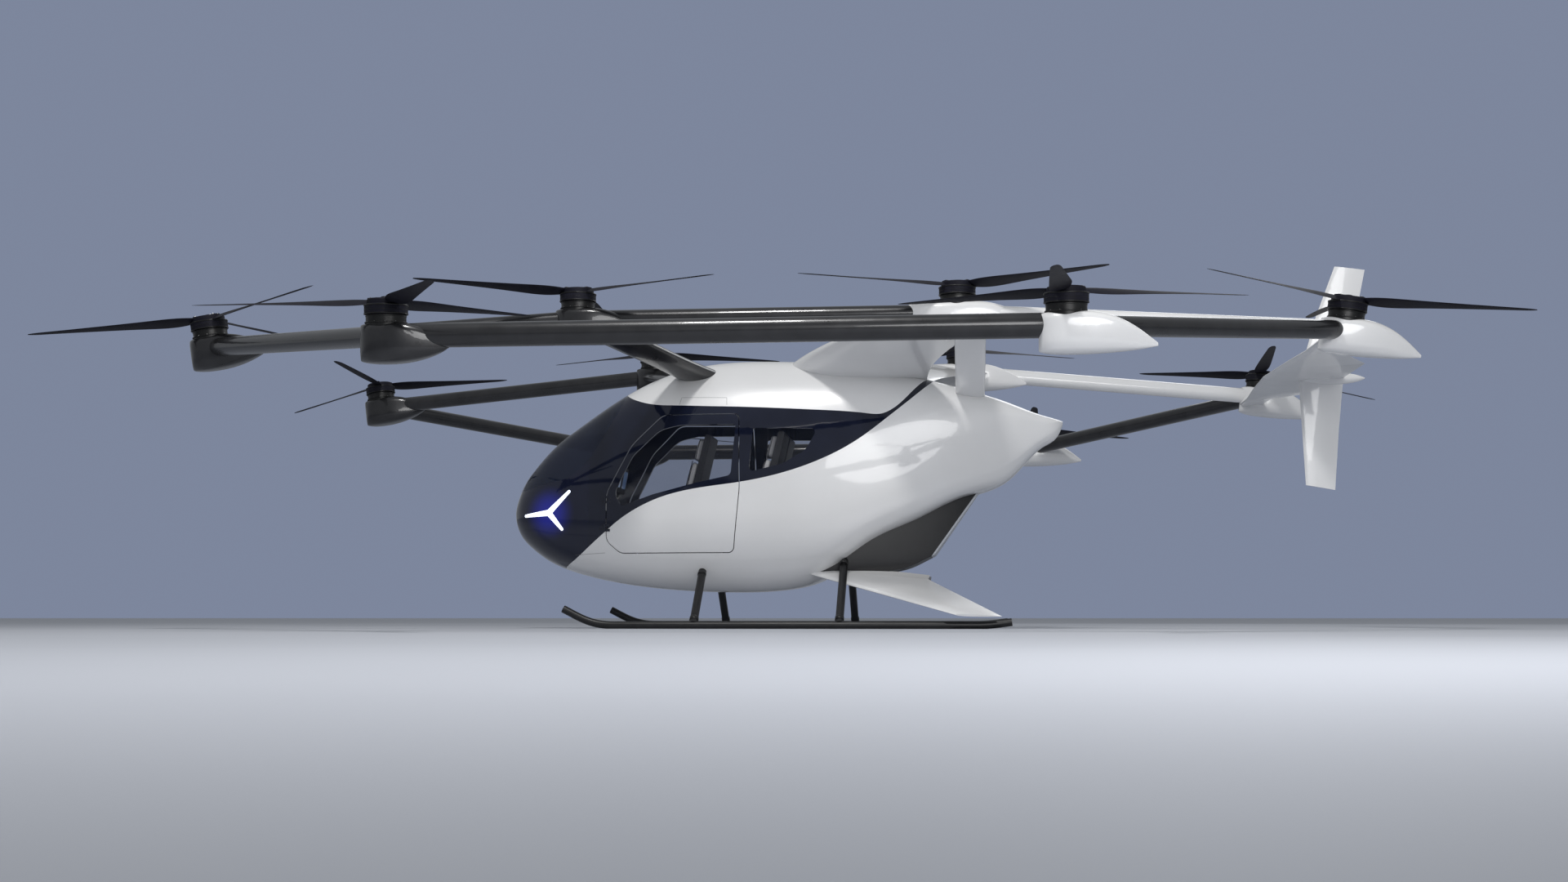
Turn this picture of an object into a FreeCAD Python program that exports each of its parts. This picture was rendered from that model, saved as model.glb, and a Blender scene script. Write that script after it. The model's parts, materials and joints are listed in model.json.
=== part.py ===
import FreeCAD, Part
import math
import os

# Twelve-rotor electric air taxi, modelled at its real size in millimetres.
# +X points out of the nose, +Y to port (the left side), +Z up.
# The origin is on the ground, on the centre plane, midway between the front and rear rotors.

V = FreeCAD.Vector

# ---- driving dimensions: rotors ------------------------------------------------------------
BLADE_RADIUS = 1500.0
BLADE_COUNT = 3
BLADE_OFFSET = 17.0                          # keeps blade edges off the seams of the round hub
BLADE_ROOT_RADIUS = 60.0
BLADE_ROOT_CHORD = 120.0
BLADE_WIDEST_CHORD = 165.0
BLADE_TIP_CHORD = 62.0
FRONT_REAR_HUB = (4950.0, 2400.0, 2750.0)    # distance ahead or aft, to the side, height
OUTER_HUB = (2490.0, 4950.0, 2430.0)
INNER_HUB = (1690.0, 2000.0, 3010.0)
FRONT_REAR_LEAN = (8.0, 3.0)                 # degrees the shaft leans fore or aft, and sideways
OUTER_LEAN = (0.0, 4.0)
INNER_LEAN = (0.0, 0.0)

# ---- driving dimensions: motors and nacelles -------------------------------------------------
BELL_RADIUS = 160.0
BELL_TOP = -22.0                             # heights below the blade plane
BELL_BOTTOM = -100.0
STATOR_RADIUS = 148.0
STATOR_BASE = -215.0
MOTOR_GAP = 5.0
SHAFT_RADIUS = 25.0
SHAFT_END = -180.0
HUB_CAP_RADIUS = 140.0
HUB_CAP_TOP = 20.0
RUNNING_GAP = 0.3
NACELLE_HALF_WIDTH = 165.0
NACELLE_TOP = -160.0
NACELLE_DEPTH = 305.0
NACELLE_TIP = 23.0                           # height left at the sharp tail
BOOM_DROP = 255.0                            # boom centre below the blade plane

# ---- driving dimensions: booms and arms -------------------------------------------------------
BOOM_RADIUS = 80.0
OUTER_BOOM_RADIUS = 92.0
FRONT_ARM_ROOT = (800.0, 150.0, 2440.0)
FRONT_ARM_HALF_CHORD = 180.0
FRONT_ARM_HALF_DEPTH = 82.0

# ---- driving dimensions: fuselage -------------------------------------------------------------
WALL = 36.0
GLASS_THICKNESS = 12.0
CABIN_AFT = -800.0
DOOR_GAP = 8.0
DOOR_FRONT = 1700.0                          # front edge of the doorway
FLOOR_TOP = 660.0
FLOOR_THICKNESS = 30.0

# Body stations from nose to tail:
# x, half width, keel height, crown height, height of the widest line, crown power, keel power
STATIONS = [
    (2724, 0, 1120, 1120, 1120, 2.0, 2.0),
    (2716, 62, 1052, 1190, 1120, 2.0, 2.0),
    (2695, 122, 975, 1268, 1120, 2.0, 2.0),
    (2650, 195, 890, 1378, 1118, 2.1, 2.1),
    (2575, 275, 808, 1508, 1115, 2.1, 2.2),
    (2455, 358, 712, 1652, 1110, 2.2, 2.3),
    (2260, 452, 602, 1848, 1105, 2.2, 2.4),
    (1990, 545, 512, 2046, 1100, 2.2, 2.5),
    (1640, 630, 436, 2278, 1100, 2.25, 2.6),
    (1210, 690, 380, 2488, 1100, 2.25, 2.7),
    (670, 718, 350, 2608, 1100, 2.25, 2.7),
    (130, 720, 358, 2622, 1110, 2.3, 2.8),
    (-300, 708, 440, 2604, 1180, 2.4, 3.2),
    (-680, 686, 700, 2560, 1300, 2.6, 4.0),
    (-1050, 645, 935, 2490, 1450, 2.9, 4.5),
    (-1450, 566, 1130, 2395, 1600, 3.3, 4.5),
    (-1850, 455, 1300, 2282, 1740, 3.6, 4.5),
    (-2250, 290, 1520, 2145, 1850, 3.6, 4.0),
    (-2520, 140, 1770, 2050, 1930, 3.0, 3.0),
    (-2680, 22, 1965, 2000, 1982, 2.0, 2.0),
]
SECTION_POINTS = 24

# Side view outlines, as (x, z) points on the body
CANOPY_LOWER_EDGE = [
    (2360, 440), (2187, 580), (2036, 667), (1890, 775), (1716, 916), (1551, 1046), (1388, 1146),
    (1227, 1221), (829, 1326), (398, 1385), (-29, 1476), (-414, 1615), (-722, 1782),
    (-990, 1984), (-1182, 2142), (-1480, 2410),
]
CANOPY_UPPER_EDGE = [
    (-1452, 2440), (-1180, 2192), (-1040, 2072), (-960, 2036), (-796, 2040), (-329, 2079),
    (419, 2119), (777, 2132), (1021, 2143), (1270, 2162), (1450, 2212), (1560, 2270), (1660, 2420),
]
WINDSHIELD_EDGE = [
    (1600, 2420), (1585, 2250), (1700, 1960), (1830, 1720), (1960, 1560), (2080, 1470),
    (2300, 1410), (2520, 1360), (2900, 1300),
]
DOOR_OUTLINE = [
    (452, 712), (1560, 712), (DOOR_FRONT, 830), (DOOR_FRONT, 1290), (1455, 1760), (1160, 2052), (410, 2052),
    (392, 1330),
]
DOOR_CORNERS = [60, 120, 120, 260, 420, 160, 60, 900]
DOOR_WINDOW = [
    (1545, 1165), (1620, 1290), (1440, 1650), (1180, 1900), (980, 1945), (442, 1945),
    (482, 1452), (840, 1375), (1240, 1272),
]
DOOR_WINDOW_CORNERS = [40, 150, 300, 250, 160, 30, 50, 700, 500]
QUARTER_WINDOW = [(275, 1905), (-345, 1895), (-235, 1690), (-20, 1560), (310, 1478)]
QUARTER_WINDOW_CORNERS = [30, 40, 160, 240, 40]
HINGE_LINE = (DOOR_FRONT + 6.0, 631.0)       # x and y of the door hinge axis
HINGE_HEIGHTS = (960.0, 1230.0)
HINGE_LENGTH = 70.0
HINGE_BARREL_RADIUS = 11.0
HINGE_PIN_RADIUS = 5.0
HINGE_BODY_LEAF = 44.0                       # length of a leaf ahead of the axis, on the body
HINGE_DOOR_LEAF = 50.0                       # length of a leaf behind the axis, on the door
HINGE_LEAF_DEPTH = 34.0                      # a leaf's block reaches this far inboard before it is trimmed
HINGE_LEAF_FACE = 3.0                        # a leaf's outer face lies this far inboard of the axis
HINGE_BRIDGE = 8.0                           # over the seam a door leaf stays this near to the axis

# ---- driving dimensions: landing gear -----------------------------------------------------------
SKID_SPREAD = 1143.0
SKID_RADIUS = 36.0
SKID_HEIGHT = 33.0
SKID_FRONT = 1500.0
SKID_TOE = (1985.0, 183.0)
SKID_REAR = -1830.0
SKID_HEEL = (-2150.0, 62.0)
LEG_RADIUS = 38.0
LEG_STATIONS = (766.0, -581.0)
LEG_ROOT_SPREAD = 400.0
LEG_ROOT_HEIGHT = 690.0

# ---- driving dimensions: lower tail block, seats -------------------------------------------------
TAIL_BLOCK_OUTLINE = [
    (-300, 530), (-880, 519), (-1190, 581), (-1438, 705), (-1895, 1350), (-1895, 1650), (-300, 1650),
]
TAIL_BLOCK_CORNERS = [10, 900, 700, 70, 10, 10, 10]
SEAT_WIDTH = 470.0
SEAT_HEIGHT = 330.0
SEAT_LEAN = 14.0
SEAT_BACK = 900.0
PILOT_SEAT = (1010.0, 0.0)                   # where the back meets the seat: x, y
PASSENGER_SEATS = [(260.0, 285.0), (260.0, -285.0)]
CUSHION_GAP = 0.3

FAR = 4000.0
BEYOND_NOSE = 3000.0


# ---- general shapes -------------------------------------------------------------------------------
def closed_curve(points):
    """A smooth closed wire through the points, with evenly spaced knots."""
    curve = Part.BSplineCurve()
    steps = [float(i) for i in range(len(points) + 1)]
    curve.interpolate(Points=points, PeriodicFlag=True, Parameters=steps)
    return Part.Wire(curve.toShape())


def open_curve(points):
    """A smooth open edge through the points."""
    curve = Part.BSplineCurve()
    curve.interpolate(points)
    return curve.toShape()


def signed_power(value, power):
    """|value| to a power, with the sign of value."""
    return math.copysign(abs(value) ** power, value)


def rounded_outline(corners, radii):
    """A closed side-view wire of straight runs with a tangent arc at each (x, z) corner."""
    count = len(corners)
    pts = [V(x, 0, z) for x, z in corners]
    starts = []
    ends = []
    mids = []
    for i in range(count):
        before = pts[i - 1] - pts[i]
        after = pts[(i + 1) % count] - pts[i]
        limit = 0.47 * min(before.Length, after.Length)
        before.normalize()
        after.normalize()
        half = math.acos(max(-1.0, min(1.0, before.dot(after)))) / 2
        reach = min(radii[i] / math.tan(half), limit)
        radius = reach * math.tan(half)
        bisector = (before + after).normalize()
        centre = pts[i] + bisector * (radius / math.sin(half))
        starts.append(pts[i] + before * reach)
        ends.append(pts[i] + after * reach)
        mids.append(centre - bisector * radius)
    edges = []
    for i in range(count):
        edges.append(Part.Arc(starts[i], mids[i], ends[i]).toShape())
        edges.append(Part.LineSegment(ends[i], starts[(i + 1) % count]).toShape())
    return Part.Wire(edges)


def across(wire, low=-FAR, high=FAR):
    """The solid that a closed side-view wire sweeps across the aircraft, from y low to y high."""
    face = Part.Face(wire)
    face.translate(V(0, low, 0))
    return face.extrude(V(0, high - low, 0))


def solid_of(shape):
    """The largest solid of a shape."""
    return max(shape.Solids, key=lambda s: s.Volume)


def mirrored(shape):
    """The same shape on the other side of the centre plane."""
    return shape.mirror(V(0, 0, 0), V(0, 1, 0))


def both_sides(shape):
    """The shape and its mirror image, as separate solids."""
    return Part.makeCompound(shape.Solids + mirrored(shape).Solids)


def oval(centre, along, half_chord, half_depth):
    """An oval wire square to a direction, with its long axis as near to X as it can lie."""
    direction = V(along).normalize()
    chord = V(1, 0, 0) - direction * direction.x
    chord.normalize()
    depth = direction.cross(chord)
    points = []
    for i in range(12):
        angle = 2 * math.pi * i / 12
        points.append(centre + chord * (half_chord * math.cos(angle))
                      + depth * (half_depth * math.sin(angle)))
    return closed_curve(points)


def airfoil(leading, trailing, thickness, up):
    """A symmetric wing section wire from its leading to its trailing edge."""
    stations = [1.0, 0.8, 0.6, 0.4, 0.22, 0.1, 0.03]
    chord = trailing - leading
    side = V(up).normalize()

    def half(t):
        return 5 * thickness * (0.2969 * math.sqrt(t) - 0.126 * t - 0.3516 * t ** 2
                                + 0.2843 * t ** 3 - 0.1015 * t ** 4)

    upper = [leading + chord * t + side * half(t) for t in stations]
    lower = [leading + chord * t - side * half(t) for t in reversed(stations)]
    return Part.Wire([open_curve(upper + [leading] + lower),
                      Part.LineSegment(lower[-1], upper[0]).toShape()])


def loft(wires):
    """A smooth closed solid through the wires."""
    return Part.makeLoft(wires, True, False, False, 3)


# ---- fuselage surface -------------------------------------------------------------------------------
def station_at(t):
    """The body station at a fractional index, on a smooth curve through the table's rows."""
    last = len(STATIONS) - 1
    i = min(int(t), last - 1)
    f = t - i
    rows = [STATIONS[max(i - 1, 0)], STATIONS[i], STATIONS[i + 1], STATIONS[min(i + 2, last)]]
    values = []
    for a, b, c, d in zip(*rows):
        values.append(b + 0.5 * f * (c - a + f * (2 * a - 5 * b + 4 * c - d
                                                  + f * (3 * (b - c) + d - a))))
    return values


def offset_lines(inset):
    """The side, crown and keel lines moved inwards, each a list of (x, value)."""
    steps = 12 * (len(STATIONS) - 1)
    side, crown, keel = [], [], []
    for k in range(steps + 1):
        t = k / 12
        here = station_at(t)
        ahead = station_at(min(t + 0.01, len(STATIONS) - 1))
        back = station_at(max(t - 0.01, 0))
        dx = ahead[0] - back[0]
        for line, column, sign in ((side, 1, 1), (crown, 3, 1), (keel, 2, -1)):
            dv = ahead[column] - back[column]
            size = math.hypot(dx, dv)
            line.append((here[0] - sign * inset * dv / size, here[column] + sign * inset * dx / size))
    return side, crown, keel


def value_at(line, x):
    """The value of an offset line at x, on its way from nose to tail."""
    for (x0, v0), (x1, v1) in zip(line, line[1:]):
        if x1 <= x <= x0 and x0 > x1:
            return v0 + (v1 - v0) * (x0 - x) / (x0 - x1)
    return line[-1][1]


def body_section(x, half_width, keel, crown, wide, crown_power, keel_power):
    """One closed cross-section of the body, started at the keel."""
    points = []
    for i in range(SECTION_POINTS):
        angle = 2 * math.pi * i / SECTION_POINTS - math.pi / 2
        power = 2 / (crown_power if math.sin(angle) > 0 else keel_power)
        reach = crown - wide if math.sin(angle) > 0 else wide - keel
        points.append(V(x, half_width * signed_power(math.cos(angle), power),
                        wide + reach * signed_power(math.sin(angle), power)))
    return closed_curve(points)


def body_solid(inset=0.0, aft_end=None):
    """The body's outer solid, or one whose skin lies inset inside it and ends at aft_end."""
    side, crown, keel = offset_lines(inset)
    nose = STATIONS[0]
    wires = [Part.Vertex(V(nose[0] - inset, 0, nose[2]))]
    for row in STATIONS[1:]:
        x = row[0] - (inset if row[0] > 2500 else 0.5 * inset if row[0] > 1900 else 0)
        if aft_end is not None and x < aft_end + 60:
            break
        wires.append(body_section(x, value_at(side, x), value_at(keel, x), value_at(crown, x), *row[4:]))
    if aft_end is not None:
        t = 1.0
        while station_at(t)[0] > aft_end:
            t += 0.01
        last = station_at(t)
        wires.append(body_section(aft_end, value_at(side, aft_end), value_at(keel, aft_end),
                                  value_at(crown, aft_end), *last[4:]))
    return loft(wires)


OUTER = body_solid()
CABIN = body_solid(WALL, CABIN_AFT)
GLAZED = body_solid(GLASS_THICKNESS, CABIN_AFT - 400)


# ---- fuselage panels ------------------------------------------------------------------------------
def side_points(pairs):
    """Side-view (x, z) pairs as points on the centre plane."""
    return [V(x, 0, z) for x, z in pairs]


def straight_runs(points):
    """Straight edges through the points in turn."""
    return [Part.LineSegment(a, b).toShape() for a, b in zip(points, points[1:])]


def canopy_region():
    """Everything seen from the side inside the black canopy band and nose."""
    lower = side_points(CANOPY_LOWER_EDGE)
    upper = side_points(CANOPY_UPPER_EDGE)
    front = side_points([(BEYOND_NOSE, upper[-1].z), (BEYOND_NOSE, lower[0].z)])
    edges = straight_runs([upper[-1]] + front + [lower[0]]) + straight_runs([lower[-1], upper[0]])
    return across(Part.Wire(Part.__sortEdges__([open_curve(lower), open_curve(upper)] + edges)))


def windshield_region():
    """Everything seen from the side inside the windshield."""
    edge = side_points(WINDSHIELD_EDGE)
    corner = V(edge[-1].x, 0, edge[0].z)
    edges = straight_runs([edge[-1], corner, edge[0]])
    return across(Part.Wire(Part.__sortEdges__([open_curve(edge)] + edges)))


def box(low, high):
    """A box between two corners."""
    return Part.makeBox(high[0] - low[0], high[1] - low[1], high[2] - low[2], V(*low))


def cylinder(start, end, radius):
    """A round bar from start to end."""
    run = end - start
    return Part.makeCylinder(radius, run.Length, start, run)


def headlight_region():
    """The side view of the three-bar lamp: bars that taper out from one centre."""
    centre = (2299, 1117)
    tips = [(2560, 1094), (2085, 1318), (2157, 955)]
    root_radius = 30.0
    tip_radius = 15.0
    shape = None
    for x, z in tips:
        run = V(x - centre[0], 0, z - centre[1])
        side = V(run.z, 0, -run.x).normalize()
        a = V(centre[0], 0, centre[1])
        b = V(x, 0, z)
        wire = Part.Wire([
            Part.LineSegment(a - side * root_radius, b - side * tip_radius).toShape(),
            Part.Arc(b - side * tip_radius, b + V(run).normalize() * tip_radius,
                     b + side * tip_radius).toShape(),
            Part.LineSegment(b + side * tip_radius, a + side * root_radius).toShape(),
            Part.LineSegment(a + side * root_radius, a - side * root_radius).toShape(),
        ])
        bar = across(wire)
        shape = bar if shape is None else shape.fuse(bar)
    return shape.fuse(cylinder(V(centre[0], -FAR, centre[1]), V(centre[0], FAR, centre[1]),
                               root_radius)).removeSplitter()


def build_fuselage():
    """The split skin of the cabin and body, the glass, the doors and the lamps."""
    shell = OUTER.cut(CABIN)
    glass_layer = OUTER.cut(GLAZED)
    canopy = canopy_region()
    screen = windshield_region()
    opening_wire = rounded_outline(DOOR_OUTLINE, DOOR_CORNERS)
    door_wire = opening_wire.makeOffset2D(-DOOR_GAP)
    window = across(rounded_outline(DOOR_WINDOW, DOOR_WINDOW_CORNERS))
    quarter = across(rounded_outline(QUARTER_WINDOW, QUARTER_WINDOW_CORNERS))
    lamp = headlight_region()
    nose_split = box((1880, -FAR, 0), (FAR, FAR, 1600))

    door = shell.common(across(door_wire, 0, FAR))
    fixed = shell.cut(across(opening_wire))
    body, roof = sorted(fixed.cut(canopy).Solids, key=lambda s: s.CenterOfMass.z)[:2]
    black = fixed.common(canopy).cut(screen).cut(quarter)

    parts = {}
    parts["fuselage_body"] = body
    parts["roof_cowl"] = roof
    parts["nose_visor"] = solid_of(black.common(nose_split).cut(lamp))
    parts["canopy_frame"] = black.cut(nose_split)
    parts["windshield"] = solid_of(glass_layer.common(screen).common(canopy))
    parts["quarter_windows"] = glass_layer.common(quarter)
    parts["headlights"] = glass_layer.common(lamp)
    parts["door_panel_left"] = solid_of(door.cut(canopy))
    parts["door_frame_left"] = solid_of(door.common(canopy).cut(window))
    parts["door_window_left"] = solid_of(glass_layer.common(window).common(across(door_wire, 0, FAR)))
    return parts


def build_hinges():
    """Barrel hinges on the left door's front edge: one barrel on the body, two on the door."""
    x, y = HINGE_LINE
    face = y - HINGE_LEAF_FACE
    door_edge = DOOR_FRONT - DOOR_GAP
    third = HINGE_LENGTH / 3
    door_parts = []
    body_parts = []
    for height in HINGE_HEIGHTS:
        low = height - HINGE_LENGTH / 2
        pin = cylinder(V(x, y, low), V(x, y, low + HINGE_LENGTH), HINGE_PIN_RADIUS)
        bore = cylinder(V(x, y, low - 1), V(x, y, low + HINGE_LENGTH + 1),
                        HINGE_PIN_RADIUS + RUNNING_GAP)
        for k in range(3):
            z = low + k * third
            middle = k == 1
            top = third if middle else third - 2 * RUNNING_GAP
            start = z if middle else z + RUNNING_GAP
            barrel = cylinder(V(x, y, start), V(x, y, start + top), HINGE_BARREL_RADIUS)
            if middle:
                leaf = box((x, y - HINGE_LEAF_DEPTH, z), (x + HINGE_BODY_LEAF, face, z + third))
                body_parts.append(barrel.fuse(leaf.cut(OUTER)).fuse(pin).removeSplitter())
            else:
                low_corner = (x - HINGE_DOOR_LEAF, y - HINGE_LEAF_DEPTH, start)
                leaf = box(low_corner, (door_edge, face, start + top)).cut(OUTER)
                bridge = box((door_edge - 1, y - HINGE_BRIDGE, start), (x, face, start + top))
                door_parts.append(barrel.fuse([leaf, bridge]).cut(bore).removeSplitter())
    return body_parts, door_parts


# ---- rotors, motors and nacelles --------------------------------------------------------------------
# name, kind, fore or aft, blade azimuth on the left and on the right
ROTORS = [
    ("rotor_front", FRONT_REAR_HUB, FRONT_REAR_LEAN, 1, 27, 90),
    ("rotor_outer_front", OUTER_HUB, OUTER_LEAN, 1, 119, 93),
    ("rotor_inner_front", INNER_HUB, INNER_LEAN, 1, 32, 89),
    ("rotor_inner_rear", INNER_HUB, INNER_LEAN, -1, 27, 93),
    ("rotor_outer_rear", OUTER_HUB, OUTER_LEAN, -1, 85, 91),
    ("rotor_rear", FRONT_REAR_HUB, FRONT_REAR_LEAN, -1, 33, 86),
]
# how far each nacelle reaches ahead of its hub and behind it, and how far its bottom rises to the tail
NACELLE_REACH = {
    "rotor_front": (190, 520, 120), "rotor_outer_front": (190, 480, 120),
    "rotor_inner_front": (200, 560, 120), "rotor_inner_rear": (440, 700, 70),
    "rotor_outer_rear": (200, 640, 52), "rotor_rear": (200, 640, 52),
}


def hub_place(hub, lean, fore, side):
    """The placement of a hub whose shaft leans outwards."""
    turn = (FreeCAD.Rotation(V(0, 1, 0), fore * lean[0])
            * FreeCAD.Rotation(V(1, 0, 0), -side * lean[1]))
    return FreeCAD.Placement(V(fore * hub[0], side * hub[1], hub[2]), turn)


def blade():
    """One blade along +X that leads with its +Y edge: radius, chord, thickness, pitch."""
    rows = [
        (BLADE_ROOT_RADIUS, BLADE_ROOT_CHORD * 0.9, 0.24, 24),
        (BLADE_RADIUS * 0.11, BLADE_ROOT_CHORD, 0.17, 23),
        (BLADE_RADIUS * 0.17, BLADE_WIDEST_CHORD * 0.92, 0.14, 22),
        (BLADE_RADIUS * 0.25, BLADE_WIDEST_CHORD, 0.12, 20),
        (BLADE_RADIUS * 0.36, BLADE_WIDEST_CHORD * 0.94, 0.11, 17),
        (BLADE_RADIUS * 0.50, BLADE_WIDEST_CHORD * 0.82, 0.10, 14),
        (BLADE_RADIUS * 0.78, BLADE_WIDEST_CHORD * 0.58, 0.10, 9),
        (BLADE_RADIUS * 0.96, BLADE_TIP_CHORD, 0.10, 6),
        (BLADE_RADIUS, BLADE_TIP_CHORD * 0.45, 0.10, 5),
    ]
    wires = []
    for radius, chord, ratio, pitch in rows:
        c = math.cos(math.radians(pitch))
        s = math.sin(math.radians(pitch))
        leading = V(radius, 0.35 * chord * c, 0.35 * chord * s)
        trailing = V(radius, -0.65 * chord * c, -0.65 * chord * s)
        wires.append(airfoil(leading, trailing, ratio * chord, V(0, -s, c)))
    return loft(wires)


def rotor():
    """Hub cap, motor bell, shaft and blades, turning anticlockwise seen from above."""
    bell = cylinder(V(0, 0, BELL_BOTTOM), V(0, 0, BELL_TOP), BELL_RADIUS)
    rim = [e for e in bell.Edges if e.Length > 6 * BELL_RADIUS]
    bell = bell.makeFillet(8, rim)
    cap = cylinder(V(0, 0, BELL_TOP - 4), V(0, 0, HUB_CAP_TOP), HUB_CAP_RADIUS)
    top_edge = [e for e in cap.Edges if abs(e.CenterOfMass.z - HUB_CAP_TOP) < 1]
    cap = cap.makeFillet(14, top_edge)
    shaft = cylinder(V(0, 0, SHAFT_END), V(0, 0, BELL_BOTTOM + 2), SHAFT_RADIUS)
    pieces = [cap, shaft]
    one = blade()
    for i in range(BLADE_COUNT):
        turned = one.copy()
        turned.rotate(V(0, 0, 0), V(0, 0, 1), 360.0 * i / BLADE_COUNT + BLADE_OFFSET)
        pieces.append(turned)
    shape = solid_of(bell.fuse(pieces))
    shape.rotate(V(0, 0, 0), V(0, 0, 1), -BLADE_OFFSET)
    return shape


def stator():
    """The fixed half of a motor, with the bore its shaft turns in."""
    top = BELL_BOTTOM - MOTOR_GAP
    body = cylinder(V(0, 0, STATOR_BASE), V(0, 0, top), STATOR_RADIUS)
    bore = cylinder(V(0, 0, SHAFT_END - MOTOR_GAP), V(0, 0, top + 1), SHAFT_RADIUS + RUNNING_GAP)
    return body.cut(bore)


def motor_pocket():
    """The room a motor base takes out of its nacelle and of the booms beside it."""
    return cylinder(V(0, 0, STATOR_BASE), V(0, 0, 0), STATOR_RADIUS + RUNNING_GAP)


def pod_section(x, half_width, low, high):
    """One closed nacelle section, flat on top and rounder below."""
    wide = high - 0.42 * (high - low)
    return body_section(x, half_width, low, high, wide, 4.0, 3.2)


def nacelle(nose, tail, rise):
    """A pod under the motor: an upright round front, flat sides and a top that falls to a sharp tail."""
    top = NACELLE_TOP
    low = NACELLE_TOP - NACELLE_DEPTH
    drop = NACELLE_DEPTH - rise - NACELLE_TIP
    rows = []
    for degrees in (8, 24, 45, 68):
        width = math.sin(math.radians(degrees))
        rows.append((nose * math.cos(math.radians(degrees)), width, 30 * (1 - width), 20 * (1 - width)))
    rows.append((0, 1.0, 0, 0))
    for back, width, bottom, fall in ((0.24, 0.97, 0.04, 0), (0.50, 0.78, 0.20, 0.14),
                                      (0.76, 0.45, 0.50, 0.50), (1.0, 0.05, 1.0, 1.0)):
        rows.append((-back * tail, width, bottom * rise, fall * drop))
    return loft([pod_section(x, width * NACELLE_HALF_WIDTH, low + bottom, top - fall)
                 for x, width, bottom, fall in rows])


def place(shape, placement):
    """A copy of a shape moved to a placement."""
    moved = shape.copy()
    moved.Placement = placement.multiply(moved.Placement)
    return moved


def build_rotors(parts):
    """Rotors, motor bases and nacelles, left and right; returns hub placements and full nacelles."""
    left_turning = rotor()
    right_turning = mirrored(left_turning)
    base = stator()
    hubs, pods, stators = {}, {}, []
    dark, white = [], []
    for i, (name, hub, lean, fore, left_phase, right_phase) in enumerate(ROTORS):
        pod = nacelle(*NACELLE_REACH[name])
        open_pod = pod.cut(motor_pocket())
        for side, suffix, phase in ((1, "_left", left_phase), (-1, "_right", right_phase)):
            placement = hub_place(hub, lean, fore, side)
            hubs[name + suffix] = placement
            turned = placement.multiply(FreeCAD.Placement(V(), FreeCAD.Rotation(V(0, 0, 1), phase)))
            blades = left_turning if (i % 2 == 0) == (side == 1) else right_turning
            parts[name + suffix] = place(blades, turned)
            pods[name + suffix] = place(pod, placement)
            stators.append(place(base, placement))
            group = dark if fore > 0 else white
            group.append(place(solid_of(open_pod), placement))
    parts["front_nacelles"] = Part.makeCompound(dark)
    parts["rear_nacelles"] = Part.makeCompound(white)
    parts["motor_bases"] = Part.makeCompound(stators)
    return hubs, pods


# ---- booms and arms -----------------------------------------------------------------------------------
def boom_joint(placement):
    """The point under a hub where its booms meet."""
    return placement.multVec(V(0, 0, -BOOM_DROP))


def boom(hubs, pods, first, second, radius):
    """A straight tube between two nacelles, trimmed where it meets their skins and motors."""
    tube = cylinder(boom_joint(hubs[first]), boom_joint(hubs[second]), radius)
    for end in (first, second):
        tube = tube.cut(pods[end]).cut(place(motor_pocket(), hubs[end]))
    return solid_of(tube)


def build_booms(parts, hubs, pods):
    """The ring of booms, the inner booms and the arms that carry them on the roof."""
    runs = {
        "perimeter_booms": [
            ("rotor_front", "rotor_outer_front", BOOM_RADIUS),
            ("rotor_outer_front", "rotor_outer_rear", OUTER_BOOM_RADIUS),
            ("rotor_outer_rear", "rotor_rear", BOOM_RADIUS),
        ],
        "inner_booms": [
            ("rotor_front", "rotor_inner_front", BOOM_RADIUS),
            ("rotor_inner_front", "rotor_inner_rear", BOOM_RADIUS),
        ],
        "rear_booms": [("rotor_inner_rear", "rotor_rear", BOOM_RADIUS)],
    }
    for node, pairs in runs.items():
        tubes = []
        for first, second, radius in pairs:
            for side in ("_left", "_right"):
                tubes.append(boom(hubs, pods, first + side, second + side, radius))
        parts[node] = Part.makeCompound(tubes)

    root = V(*FRONT_ARM_ROOT)
    tip = boom_joint(hubs["rotor_inner_front_left"])
    run = tip - root
    wires = []
    for f, scale in ((0, 1.12), (0.12, 1.0), (0.5, 0.93), (1.0, 0.86)):
        wires.append(oval(root + run * f, run, FRONT_ARM_HALF_CHORD * scale,
                          FRONT_ARM_HALF_DEPTH * scale))
    arm = loft(wires).cut(pods["rotor_inner_front_left"]).cut(OUTER)
    parts["front_arms"] = both_sides(solid_of(arm))

    rows = [
        (V(20, 120, 2500), V(-1380, 120, 2360), 300),
        (V(-150, 380, 2572), V(-1390, 380, 2440), 250),
        (V(-550, 1000, 2668), V(-1610, 1000, 2590), 175),
        (V(-1080, 1885, 2770), V(-1980, 1885, 2735), 150),
    ]
    wing = loft([airfoil(a, b, t, V(0, 0, 1)) for a, b, t in rows])
    arm = wing.cut(pods["rotor_inner_rear_left"]).cut(OUTER)
    parts["rear_arms"] = both_sides(solid_of(arm))

    foot = V(-1790, 290, 2230)
    head = V(-1800, 1930, 2640)
    run = head - foot
    strut = loft([oval(foot + run * f, run, 140, 36) for f in (0, 0.5, 1)])
    strut = strut.cut(pods["rotor_inner_rear_left"]).cut(OUTER)
    parts["rear_struts"] = both_sides(solid_of(strut))


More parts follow.
